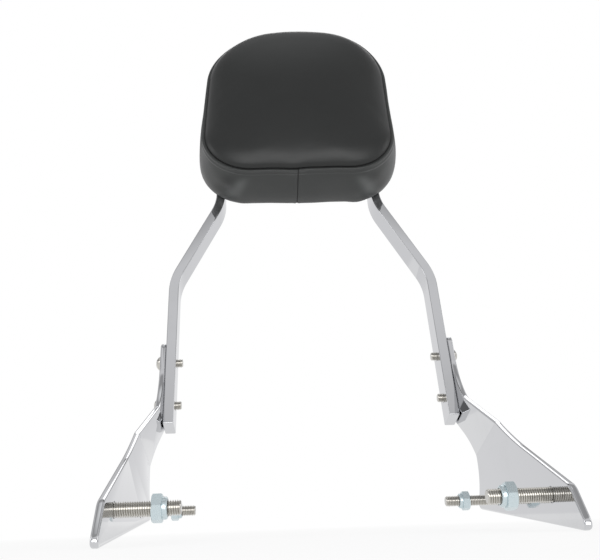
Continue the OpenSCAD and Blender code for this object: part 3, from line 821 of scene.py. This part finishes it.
def sewnDetail(vert, fromSeam, middleUp):
    # how far the cover stands proud of its swollen form, in millimetres
    x, up = vert.co.x, vert.co.z - middleUp
    height = 0.0
    if fromSeam >= 0:
        height -= pad["seamDepth"] * math.exp(-(fromSeam / pad["seamWidth"]) ** 2)
        height += pad["lip"] * math.exp(-((fromSeam - 1.5) / 0.8) ** 2)
        fade = 0.45 + 0.55 * smoothStep(-0.25, 0.35, noise.noise(Vector((x * 0.012, 3.1, up * 0.012))))
        if up < -60 and x > 4:
            fade *= 0.45 + 0.55 * smoothStep(55, 80, x)  # the allowance hardly shows right of the middle seam
        inside = 1 - smoothStep(pad["ridgeWidth"] - 0.5, pad["ridgeWidth"] + 0.6, fromSeam)
        height += pad["ridge"] * fade * inside * smoothStep(0.4, 1.6, fromSeam)
        if up < 0 and abs(x) < 60:
            across = abs(x - pad["joinX"])
            height -= pad["joinDepth"] * math.exp(-(across / pad["joinWidth"] * 1.6) ** 2)
            height += 0.22 * math.exp(-((across - 2.4) / 1.2) ** 2)
        if up < -50:
            away = abs(x) - 68 - 0.25 * fromSeam  # the cover dips towards each leg, with a soft ridge beside the dip
            near = smoothStep(6, 30, fromSeam) * (1 - smoothStep(30, 50, fromSeam))
            height -= pad["valley"] * math.exp(-(away / pad["foldWidth"]) ** 2) * near
            height += pad["fold"] * math.exp(-((away + 19) / pad["foldWidth"]) ** 2) * smoothStep(4, 20, fromSeam)
        corner = math.exp(-((abs(x) - 78) / 26) ** 2) * smoothStep(-40, -90, up)
        soft = noise.noise(Vector((x * 0.022, vert.co.y * 0.05, up * 0.03 + 7)))
        height += corner * (soft * 1.6) * smoothStep(2, 14, fromSeam)
        height += 0.5 * noise.noise(Vector((x * 0.03, vert.co.y * 0.03, up * 0.03))) * smoothStep(3, 12, fromSeam)
        if up < -60:
            height += pad["sag"] * math.exp(-((x - 2) / 42) ** 2) * smoothStep(12, 40, fromSeam)
    else:
        along = -alongCover(fromSeam)
        height -= pad["seamDepth"] * 0.8 * math.exp(-(along / pad["seamWidth"]) ** 2)
        height += 0.4 * pad["lip"] * math.exp(-((along - 1.5) / 0.8) ** 2)
        height += pad["roll"] * math.exp(-((-fromSeam - 12) / 10) ** 2)
        height += 0.2 * noise.noise(Vector((x * 0.02, 1.7, up * 0.02))) * smoothStep(4, 25, -fromSeam)
    return height


def makePad(vinyl):
    bm = padShell(pad["start"] * 0.35)
    near = bm.verts.layers.float["fromSeam"]
    middleUp = pad["base"] + pad["height"] / 2
    surface = swollenPad()
    for vert in [vert for vert in bm.verts if vert[near] < 60]:
        weight = smoothStep(1.0, pad["seamReach"], abs(vert[near])) * smoothStep(0, 8, pad["back"] - vert.co.y)
        target = surface.find_nearest(vert.co)[0]
        step = (target - vert.co) * pad["follow"]
        if step.length > pad["cap"]:
            step *= pad["cap"] / step.length
        vert.co += step * weight
    taut = [vert for vert in bm.verts if abs(vert[near]) > 3 and vert.co.y < pad["back"] - 9]
    for turn in range(6):
        bmesh.ops.smooth_vert(bm, verts=taut, factor=0.5, use_axis_x=True, use_axis_y=True, use_axis_z=True)
    bandFaces = [face for face in bm.faces if all(vert[near] >= 0 for vert in face.verts)
                 and face.calc_center_median().z < middleUp - 60 and abs(face.calc_center_median().x) < 12]
    for shift in (-3.6, -2.6, -1.6, -0.9, -0.4, 0, 0.4, 0.9, 1.6, 2.6, 3.6):
        live = [face for face in bandFaces if face.is_valid]
        around = list({edge for face in live for edge in face.edges})
        corners = list({vert for face in live for vert in face.verts})
        cut = bmesh.ops.bisect_plane(bm, geom=live + around + corners, dist=0.02,
                                     plane_co=(pad["joinX"] + shift, 0, 0), plane_no=(1, 0, 0))
        bandFaces = [item for item in cut["geom"] if isinstance(item, bmesh.types.BMFace)]
    bm.normal_update()
    moves = []
    for vert in bm.verts:
        if vert.co.y < pad["back"] - 1.5 and vert[near] < 60:
            moves.append((vert, vert.normal * sewnDetail(vert, vert[near], middleUp)))
    for vert, move in moves:
        vert.co += move + seamDrift(vert, vert[near], middleUp)
    tone = bm.verts.layers.float.new("seamShade")
    bandLight = bm.verts.layers.float.new("bandPaintedLight")
    for vert in bm.verts:
        # painted light: the whole band is made paler, as if it were lit from below and in front
        vert[bandLight] = 0.28 * smoothStep(-0.3, 0.3, vert[near])
        # painted highlight: a soft pale patch on the band beside each lower corner, with less paleness just beyond it
        if vert.co.z < middleUp - 50 and vert[near] > 0:
            away = abs(vert.co.x - 3) - 54 - 0.5 * vert[near]
            glow = math.exp(-(away / 6) ** 2) - 0.35 * math.exp(-((away - 14) / 7) ** 2)
            vert[bandLight] += 0.6 * glow * smoothStep(6, 20, vert[near]) * (1 - smoothStep(34, 47, vert[near]))
        # painted shade: the seam crease and the middle join are darkened in colour where their grooves lie in shade
        paintedCreaseShade = math.exp(-(alongCover(vert[near]) / 0.45) ** 2)
        if vert[near] > 0 and vert.co.z < middleUp and abs(vert.co.x) < 60:
            paintedCreaseShade = max(paintedCreaseShade, 0.9 * math.exp(-((vert.co.x - pad["joinX"]) / 0.45) ** 2))
        vert[tone] = paintedCreaseShade
    for face in bm.faces:
        face.smooth = True
    piece = makeObject("pad_cover", bm)
    placeMesh(piece, hoopPlace)
    finishPiece(piece, vinyl, "vinyl", "face_panel", "side_band", "foam_core")
    print("pad cover made:", len(piece.data.polygons), "faces")


def makeBackPanel(vinyl):
    bm = bmesh.new()
    rim = outlineLoop(bm, 5)
    ways = [(vert, outwardAt(vert)) for vert in bm.verts]
    for vert, outward in ways:
        vert.co += outward * (swellAt(vert.co, outward) - pad["tuck"] - backPanel["inset"])
    face = bmesh.ops.edgeloop_fill(bm, edges=rim)["faces"][0]
    growRun(bm, face, (0, -backPanel["thick"], 0))
    bmesh.ops.recalc_face_normals(bm, faces=bm.faces)
    rims = [edge for face in bm.faces if len(face.verts) > 4 for edge in face.edges]
    bmesh.ops.bevel(bm, geom=rims, offset=backPanel["edge"], offset_type="OFFSET", affect="EDGES", segments=3,
                    profile=0.5, material=-1, clamp_overlap=True, loop_slide=True)
    bmesh.ops.translate(bm, vec=(0, pad["back"], pad["base"] + pad["height"] / 2), verts=bm.verts)
    piece = makeObject("pad_back_panel", bm)
    for height in strap["heights"]:
        for sign in (-1, 1):
            drill = makeObject("drill", turned([(0, -8), (3.5, -8), (3.5, 8), (0, 8)], 32))
            drill.data.transform(Matrix.Translation((sign * strap["screwGap"] / 2, pad["back"], height))
                                 @ Matrix.Rotation(math.pi / 2, 4, "X"))
            booleanWith(piece, drill, "DIFFERENCE")
    shadeRounded(piece)
    placeMesh(piece, hoopPlace)
    finishPiece(piece, vinyl, "vinyl", "back_cover")


# Finishes. Effects that several finishes share are node groups.

def addNode(tree, kind, inputs=None, **fields):
    node = tree.nodes.new(kind)
    for key, value in fields.items():
        setattr(node, key, value)
    for key, value in (inputs or {}).items():
        if isinstance(value, bpy.types.NodeSocket):
            tree.links.new(value, node.inputs[key])
        else:
            node.inputs[key].default_value = value
    return node


def newGroup(name, inputs, outputs):
    tree = bpy.data.node_groups.new(name, "ShaderNodeTree")
    for label, kind, value in inputs:
        socket = tree.interface.new_socket(name=label, in_out="INPUT", socket_type=kind)
        if value is not None:
            socket.default_value = value
    for label, kind in outputs:
        tree.interface.new_socket(name=label, in_out="OUTPUT", socket_type=kind)
    return tree, tree.nodes.new("NodeGroupInput"), tree.nodes.new("NodeGroupOutput")


def makeHandlingHaze():
    # faint smears and dust left by handling, as a mask
    tree, given, made = newGroup("handlingHaze", [("Vector", "NodeSocketVector", None), ("Size", "NodeSocketFloat", 30.0),
                                                  ("Amount", "NodeSocketFloat", 0.5)], [("Haze", "NodeSocketFloat")])
    broad = addNode(tree, "ShaderNodeTexNoise", {"Vector": given.outputs["Vector"], "Scale": given.outputs["Size"],
                                                 "Detail": 3.0, "Roughness": 0.55, "Distortion": 0.6})
    ramp = addNode(tree, "ShaderNodeMapRange", {"Value": broad.outputs["Fac"], "From Min": 0.46, "From Max": 0.72},
                   interpolation_type="SMOOTHSTEP")
    finer = addNode(tree, "ShaderNodeMath", {0: given.outputs["Size"], 1: 9.0}, operation="MULTIPLY")
    specks = addNode(tree, "ShaderNodeTexNoise", {"Vector": given.outputs["Vector"], "Scale": finer.outputs[0],
                                                  "Detail": 2.0, "Roughness": 0.6})
    mixed = addNode(tree, "ShaderNodeMath", {0: ramp.outputs[0], 1: specks.outputs["Fac"]}, operation="MULTIPLY")
    scaled = addNode(tree, "ShaderNodeMath", {0: mixed.outputs[0], 1: given.outputs["Amount"]}, operation="MULTIPLY")
    tree.links.new(scaled.outputs[0], made.inputs["Haze"])
    return tree


def makeFineMarks():
    # hairline polishing marks: noise stretched along one direction
    tree, given, made = newGroup("fineMarks", [("Vector", "NodeSocketVector", None), ("Stretch", "NodeSocketVector", None),
                                               ("Scale", "NodeSocketFloat", 900.0)], [("Height", "NodeSocketFloat")])
    drawn = addNode(tree, "ShaderNodeVectorMath", {0: given.outputs["Vector"], 1: given.outputs["Stretch"]},
                    operation="MULTIPLY")
    lines = addNode(tree, "ShaderNodeTexNoise", {"Vector": drawn.outputs[0], "Scale": given.outputs["Scale"],
                                                 "Detail": 2.0, "Roughness": 0.7})
    tree.links.new(lines.outputs["Fac"], made.inputs["Height"])
    return tree


def makeVinylGrain():
    # small rounded cells with creases between them, broken up by a wider unevenness
    tree, given, made = newGroup("vinylGrain", [("Vector", "NodeSocketVector", None), ("Cells", "NodeSocketFloat", 900.0)],
                                 [("Height", "NodeSocketFloat"), ("Tone", "NodeSocketFloat")])
    bend = addNode(tree, "ShaderNodeTexNoise", {"Vector": given.outputs["Vector"], "Scale": 260.0, "Detail": 2.0})
    shift = addNode(tree, "ShaderNodeVectorMath", {0: bend.outputs["Color"], 1: (0.0012, 0.0012, 0.0012)},
                    operation="MULTIPLY")
    moved = addNode(tree, "ShaderNodeVectorMath", {0: given.outputs["Vector"], 1: shift.outputs[0]}, operation="ADD")
    cells = addNode(tree, "ShaderNodeTexVoronoi", {"Vector": moved.outputs[0], "Scale": given.outputs["Cells"]},
                    feature="DISTANCE_TO_EDGE")
    pillow = addNode(tree, "ShaderNodeMapRange", {"Value": cells.outputs["Distance"], "From Max": 0.35},
                     interpolation_type="SMOOTHSTEP")
    fine = addNode(tree, "ShaderNodeTexNoise", {"Vector": given.outputs["Vector"], "Scale": 2600.0, "Detail": 2.0})
    mixed = addNode(tree, "ShaderNodeMath", {0: fine.outputs["Fac"], 1: 0.35, 2: pillow.outputs[0]},
                    operation="MULTIPLY_ADD")
    wide = addNode(tree, "ShaderNodeTexNoise", {"Vector": given.outputs["Vector"], "Scale": 22.0, "Detail": 3.0})
    tree.links.new(mixed.outputs[0], made.inputs["Height"])
    tree.links.new(wide.outputs["Fac"], made.inputs["Tone"])
    return tree


def newMaterial(name):
    material = bpy.data.materials.new(name)
    material.use_nodes = True
    tree = material.node_tree
    tree.nodes.clear()
    shader = tree.nodes.new("ShaderNodeBsdfPrincipled")
    made = tree.nodes.new("ShaderNodeOutputMaterial")
    tree.links.new(shader.outputs[0], made.inputs["Surface"])
    place = tree.nodes.new("ShaderNodeTexCoord").outputs["Object"]
    return material, tree, shader, place


def useGroup(tree, group, inputs):
    node = addNode(tree, "ShaderNodeGroup", node_tree=group)
    for key, value in inputs.items():
        if isinstance(value, bpy.types.NodeSocket):
            tree.links.new(value, node.inputs[key])
        else:
            node.inputs[key].default_value = value
    return node


def addBump(tree, shader, height, strength, distance):
    bump = addNode(tree, "ShaderNodeBump", {"Height": height, "Strength": strength, "Distance": distance})
    tree.links.new(bump.outputs["Normal"], shader.inputs["Normal"])


chromeFinish = {"color": (0.61, 0.615, 0.63, 1), "dull": (0.57, 0.575, 0.585, 1), "roughness": (0.02, 0.09), "haze": 0.7}
steelFinish = {"color": (0.56, 0.545, 0.51, 1), "roughness": (0.16, 0.34)}
zincFinish = {"color": (0.60, 0.69, 0.72, 1), "worn": (0.70, 0.76, 0.77, 1), "roughness": (0.27, 0.36)}
# band is a pale colour that paints light onto the band and highlights beside its lower corners
vinylFinish = {"color": (0.0085, 0.0094, 0.0091, 1), "pale": (0.0118, 0.0130, 0.0126, 1), "band": (0.10, 0.105, 0.103, 1),
               "paintedCreaseShade": (0.002, 0.002, 0.002, 1), "roughness": (0.36, 0.44), "cells": 950.0, "specular": 0.40}


def chromeMaterial(haze, marks):
    material, tree, shader, place = newMaterial("bright chrome")
    shader.inputs["Metallic"].default_value = 1
    smear = useGroup(tree, haze, {"Vector": place, "Size": 28.0, "Amount": chromeFinish["haze"]})
    rough = addNode(tree, "ShaderNodeMapRange", {"Value": smear.outputs["Haze"], "To Min": chromeFinish["roughness"][0],
                                                 "To Max": chromeFinish["roughness"][1]})
    tree.links.new(rough.outputs[0], shader.inputs["Roughness"])
    tint = addNode(tree, "ShaderNodeMix", {"Factor": smear.outputs["Haze"], "A": chromeFinish["color"],
                                           "B": chromeFinish["dull"]}, data_type="RGBA")
    tree.links.new(tint.outputs["Result"], shader.inputs["Base Color"])
    lines = useGroup(tree, marks, {"Vector": place, "Stretch": (1.0, 1.0, 0.03), "Scale": 1400.0})
    addBump(tree, shader, lines.outputs["Height"], 0.02, 0.0002)
    return material


def steelMaterial(haze, marks):
    material, tree, shader, place = newMaterial("stainless steel")
    shader.inputs["Metallic"].default_value = 1
    smear = useGroup(tree, haze, {"Vector": place, "Size": 190.0, "Amount": 0.9})
    rough = addNode(tree, "ShaderNodeMapRange", {"Value": smear.outputs["Haze"], "To Min": steelFinish["roughness"][0],
                                                 "To Max": steelFinish["roughness"][1]})
    tree.links.new(rough.outputs[0], shader.inputs["Roughness"])
    tint = addNode(tree, "ShaderNodeMix", {"Factor": smear.outputs["Haze"], "A": steelFinish["color"],
                                           "B": (0.40, 0.385, 0.355, 1)}, data_type="RGBA")
    tree.links.new(tint.outputs["Result"], shader.inputs["Base Color"])
    lines = useGroup(tree, marks, {"Vector": place, "Stretch": (1.0, 0.15, 1.0), "Scale": 2200.0})
    addBump(tree, shader, lines.outputs["Height"], 0.08, 0.0002)
    return material


def zincMaterial(haze, marks):
    material, tree, shader, place = newMaterial("blue zinc plating")
    shader.inputs["Metallic"].default_value = 0.85
    smear = useGroup(tree, haze, {"Vector": place, "Size": 90.0, "Amount": 0.5})
    rough = addNode(tree, "ShaderNodeMapRange", {"Value": smear.outputs["Haze"], "To Min": zincFinish["roughness"][0],
                                                 "To Max": zincFinish["roughness"][1]})
    tree.links.new(rough.outputs[0], shader.inputs["Roughness"])
    tint = addNode(tree, "ShaderNodeMix", {"Factor": smear.outputs["Haze"], "A": zincFinish["color"],
                                           "B": zincFinish["worn"]}, data_type="RGBA")
    tree.links.new(tint.outputs["Result"], shader.inputs["Base Color"])
    lines = useGroup(tree, marks, {"Vector": place, "Stretch": (1.0, 1.0, 1.0), "Scale": 1800.0})
    addBump(tree, shader, lines.outputs["Height"], 0.05, 0.0002)
    return material


def nylonMaterial(haze):
    material, tree, shader, place = newMaterial("white nylon")
    smear = useGroup(tree, haze, {"Vector": place, "Size": 300.0, "Amount": 0.8})
    tint = addNode(tree, "ShaderNodeMix", {"Factor": smear.outputs["Haze"], "A": (0.72, 0.78, 0.78, 1),
                                           "B": (0.58, 0.64, 0.63, 1)}, data_type="RGBA")
    tree.links.new(tint.outputs["Result"], shader.inputs["Base Color"])
    shader.inputs["Roughness"].default_value = 0.45
    shader.inputs["Subsurface Weight"].default_value = 0.15
    shader.inputs["Subsurface Radius"].default_value = (0.001, 0.001, 0.001)
    return material


def vinylMaterial(grain, haze):
    material, tree, shader, place = newMaterial("grained vinyl")
    cells = useGroup(tree, grain, {"Vector": place, "Cells": vinylFinish["cells"]})
    smear = useGroup(tree, haze, {"Vector": place, "Size": 16.0, "Amount": 0.8})
    tint = addNode(tree, "ShaderNodeMix", {"Factor": cells.outputs["Tone"], "A": vinylFinish["color"],
                                           "B": vinylFinish["pale"]}, data_type="RGBA")
    # painted light: the bandPaintedLight attribute mixes the band towards the pale band colour
    bandLight = addNode(tree, "ShaderNodeAttribute", attribute_name="bandPaintedLight")
    cut = addNode(tree, "ShaderNodeMix", {"Factor": bandLight.outputs["Fac"], "A": tint.outputs["Result"],
                                          "B": vinylFinish["band"]}, data_type="RGBA")
    # painted shade: the seamShade attribute mixes the seam crease and the join towards a near-black colour; it also
    # roughens them
    seamShadeNode = addNode(tree, "ShaderNodeAttribute", attribute_name="seamShade")
    dark = addNode(tree, "ShaderNodeMix", {"Factor": seamShadeNode.outputs["Fac"], "A": cut.outputs["Result"],
                                           "B": vinylFinish["paintedCreaseShade"]}, data_type="RGBA")
    tree.links.new(dark.outputs["Result"], shader.inputs["Base Color"])
    rough = addNode(tree, "ShaderNodeMapRange", {"Value": smear.outputs["Haze"], "To Min": vinylFinish["roughness"][0],
                                                 "To Max": vinylFinish["roughness"][1]})
    creased = addNode(tree, "ShaderNodeMath", {0: seamShadeNode.outputs["Fac"], 1: 0.5, 2: rough.outputs[0]},
                      operation="MULTIPLY_ADD")
    shader.inputs["Specular IOR Level"].default_value = vinylFinish["specular"]
    tree.links.new(creased.outputs[0], shader.inputs["Roughness"])
    addBump(tree, shader, cells.outputs["Height"], 0.22, 0.00012)
    return material


def boardMaterial(haze):
    material, tree, shader, place = newMaterial("plywood")
    rings = addNode(tree, "ShaderNodeTexWave", {"Vector": place, "Scale": 60.0, "Distortion": 5.0, "Detail": 3.0})
    tint = addNode(tree, "ShaderNodeMix", {"Factor": rings.outputs["Fac"], "A": (0.50, 0.36, 0.21, 1),
                                           "B": (0.36, 0.24, 0.13, 1)}, data_type="RGBA")
    tree.links.new(tint.outputs["Result"], shader.inputs["Base Color"])
    smear = useGroup(tree, haze, {"Vector": place, "Size": 60.0, "Amount": 0.8})
    rough = addNode(tree, "ShaderNodeMapRange", {"Value": smear.outputs["Haze"], "To Min": 0.55, "To Max": 0.75})
    tree.links.new(rough.outputs[0], shader.inputs["Roughness"])
    return material


# Stage: pale floor, white surroundings, soft lamps and the camera of the photograph.

stage = {"floorSize": 12.0, "floorDrop": 0.0002, "floorTone": 0.92, "lift": 0.85, "clearFrom": 0.35, "clearTo": 0.95}
view = {
    "spot": (-0.0491, -0.5322, -0.0110), "right": (0.9987, -0.0365, -0.0345), "up": (0.0225, -0.2905, 0.9578),
    "pixels": 800.0, "imageWidth": 600, "sensor": 36.0, "shift": (0.017, 0.0),
}


def makeCamera():
    data = bpy.data.cameras.new("camera")
    data.sensor_width = view["sensor"]
    data.sensor_fit = "HORIZONTAL"
    data.lens = view["pixels"] / view["imageWidth"] * view["sensor"]
    data.shift_x, data.shift_y = view["shift"]
    data.clip_start = 0.01
    camera = bpy.data.objects.new("camera", data)
    bpy.context.collection.objects.link(camera)
    right = Vector(view["right"]).normalized()
    up = Vector(view["up"])
    up = (up - right * up.dot(right)).normalized()
    back = right.cross(up)
    turn = Matrix((right, up, back)).transposed().to_4x4()
    camera.matrix_world = Matrix.Translation(view["spot"]) @ turn
    bpy.context.scene.camera = camera


def makeFloor():
    bm = bmesh.new()
    bmesh.ops.create_grid(bm, x_segments=1, y_segments=1, size=stage["floorSize"] / 2)
    bmesh.ops.translate(bm, vec=(0, 0, cadBounds[0][2] - stage["floorDrop"]), verts=bm.verts)
    floor = makeObject("floor", bm)
    material = bpy.data.materials.new("pale floor")
    material.use_nodes = True
    tree = material.node_tree
    tree.nodes.clear()
    tone = stage["floorTone"]
    diffuse = addNode(tree, "ShaderNodeBsdfDiffuse", {"Color": (tone, tone, tone, 1)})
    glow = addNode(tree, "ShaderNodeEmission", {"Color": (1, 1, 1, 1), "Strength": 1.0})
    rays = addNode(tree, "ShaderNodeLightPath")
    seen = addNode(tree, "ShaderNodeMath", {0: rays.outputs["Is Camera Ray"], 1: rays.outputs["Is Glossy Ray"]},
                   operation="MAXIMUM")
    seen = addNode(tree, "ShaderNodeMath", {0: seen.outputs[0], 1: rays.outputs["Is Transmission Ray"]},
                   operation="MAXIMUM")
    spot = addNode(tree, "ShaderNodeTexCoord").outputs["Object"]
    away = addNode(tree, "ShaderNodeVectorMath", {0: spot}, operation="LENGTH")
    lift = addNode(tree, "ShaderNodeMapRange", {"Value": away.outputs["Value"], "From Min": stage["clearFrom"],
                                                "From Max": stage["clearTo"], "To Min": stage["lift"]},
                   interpolation_type="SMOOTHSTEP")
    share = addNode(tree, "ShaderNodeMath", {0: seen.outputs[0], 1: lift.outputs[0]}, operation="MULTIPLY")
    mixed = addNode(tree, "ShaderNodeMixShader", {0: share.outputs[0], 1: diffuse.outputs[0], 2: glow.outputs[0]})
    made = tree.nodes.new("ShaderNodeOutputMaterial")
    tree.links.new(mixed.outputs[0], made.inputs["Surface"])
    floor.data.materials.append(material)


def makeWorld():
    world = bpy.data.worlds.new("studio")
    bpy.context.scene.world = world
    world.use_nodes = True
    tree = world.node_tree
    tree.nodes.clear()
    rays = addNode(tree, "ShaderNodeLightPath")
    way = addNode(tree, "ShaderNodeTexCoord").outputs["Generated"]
    parts = addNode(tree, "ShaderNodeSeparateXYZ", {0: way})
    ramp = addNode(tree, "ShaderNodeValToRGB", {0: addNode(tree, "ShaderNodeMapRange", {
        "Value": parts.outputs["Z"], "From Min": -1.0, "From Max": 1.0}).outputs[0]})
    stops = ramp.color_ramp.elements
    stops[0].position, stops[0].color = 0.0, (0.8, 0.8, 0.81, 1)
    stops[1].position, stops[1].color = 1.0, (0.96, 0.97, 0.98, 1)
    for spot, tone in ((0.5, 0.9), (0.70, 0.88), (0.715, 0.22), (0.765, 0.22), (0.775, 0.58), (0.86, 0.84), (0.89, 0.84),
                       (0.92, 0.42), (0.975, 0.42)):
        stop = stops.new(spot)
        stop.color = (tone, tone, tone * 1.01, 1)
    light = addNode(tree, "ShaderNodeBackground", {"Color": ramp.outputs[0], "Strength": 1.0})
    white = addNode(tree, "ShaderNodeBackground", {"Color": (1, 1, 1, 1), "Strength": 1.0})
    seen = addNode(tree, "ShaderNodeMath", {0: rays.outputs["Is Camera Ray"], 1: rays.outputs["Is Transmission Ray"]},
                   operation="MAXIMUM")
    mixed = addNode(tree, "ShaderNodeMixShader", {0: seen.outputs[0], 1: light.outputs[0], 2: white.outputs[0]})
    made = tree.nodes.new("ShaderNodeOutputWorld")
    tree.links.new(mixed.outputs[0], made.inputs["Surface"])


def addLamp(name, spot, aim, size, power):
    data = bpy.data.lights.new(name, "AREA")
    data.shape = "RECTANGLE"
    data.size, data.size_y = size
    data.energy = power
    lamp = bpy.data.objects.new(name, data)
    bpy.context.collection.objects.link(lamp)
    lamp.location = spot
    lamp.rotation_euler = (Vector(aim) - Vector(spot)).to_track_quat("-Z", "Y").to_euler()


def makeLamps():
    aim = (0, 0.2, 0.25)
    addLamp("low_front", (0.1, -2.2, 0.6), aim, (2.6, 1.3), 26)
    addLamp("left", (-1.9, -0.3, 0.9), aim, (0.8, 0.6), 2.4)
    addLamp("right", (1.9, -0.1, 1.0), aim, (0.8, 0.6), 2.0)
    addLamp("rear", (0.2, 1.6, 1.7), aim, (1.2, 0.8), 4)


def buildScene():
    makeCamera()
    makeFloor()
    makeWorld()
    makeLamps()
    bpy.context.scene.view_settings.view_transform = "Standard"
    haze = makeHandlingHaze()
    marks = makeFineMarks()
    grain = makeVinylGrain()
    chrome = chromeMaterial(haze, marks)
    steel = steelMaterial(haze, marks)
    zinc = zincMaterial(haze, marks)
    nylon = nylonMaterial(haze)
    vinyl = vinylMaterial(grain, haze)
    board = boardMaterial(haze)
    print("finishes made")
    makeHoop(chrome)
    for name, node, height in zip(("strap_low", "strap_high"), ("lower_pad_strap", "upper_pad_strap"), strap["heights"]):
        makeStrap(name, node, height, chrome)
    makePlates(chrome)
    makeFasteners(steel, zinc, nylon)
    makePad(vinyl)
    makeBackPanel(vinyl)
    for node, material in (("backing_board", board), ("tee_nut_low_left", zinc), ("tee_nut_low_right", zinc),
                           ("tee_nut_high_left", zinc), ("tee_nut_high_right", zinc)):
        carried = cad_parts[node]
        for slot in carried.material_slots:
            slot.material = material


buildScene()
